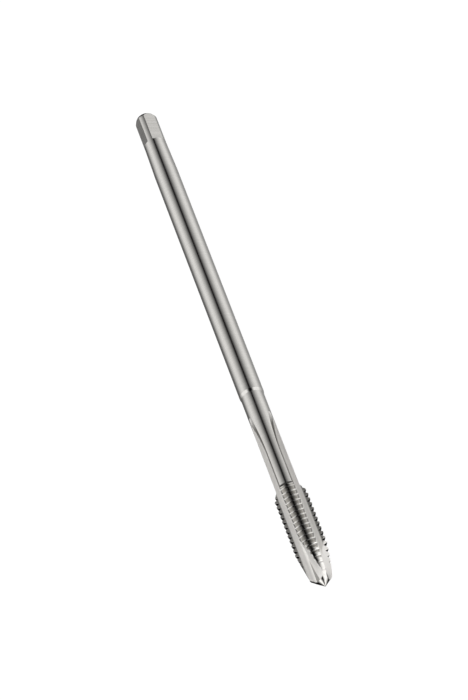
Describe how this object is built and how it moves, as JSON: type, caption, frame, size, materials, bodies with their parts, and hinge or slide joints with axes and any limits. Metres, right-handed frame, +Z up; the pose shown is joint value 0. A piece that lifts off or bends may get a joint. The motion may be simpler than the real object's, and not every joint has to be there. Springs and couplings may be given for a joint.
{
  "type": "thread tap",
  "caption": "Long-shank spiral-point machine tap, 5/16-18 UNC, with straight flutes, a relieved neck and a square drive end.",
  "frame": {"origin": "centre of the flat end face of the square drive, on the tool's axis", "axes": "+X along the axis from the drive end to the point, +Z up to the uppermost land with the tool lying on two lands and one flute straight down, +Y across"},
  "size_m": [0.15, 0.008, 0.0074],
  "materials": {
    "tool_steel": "ground"
  },
  "bodies": {
    "root": {"tap": "tool_steel"}
  },
  "joints": []
}
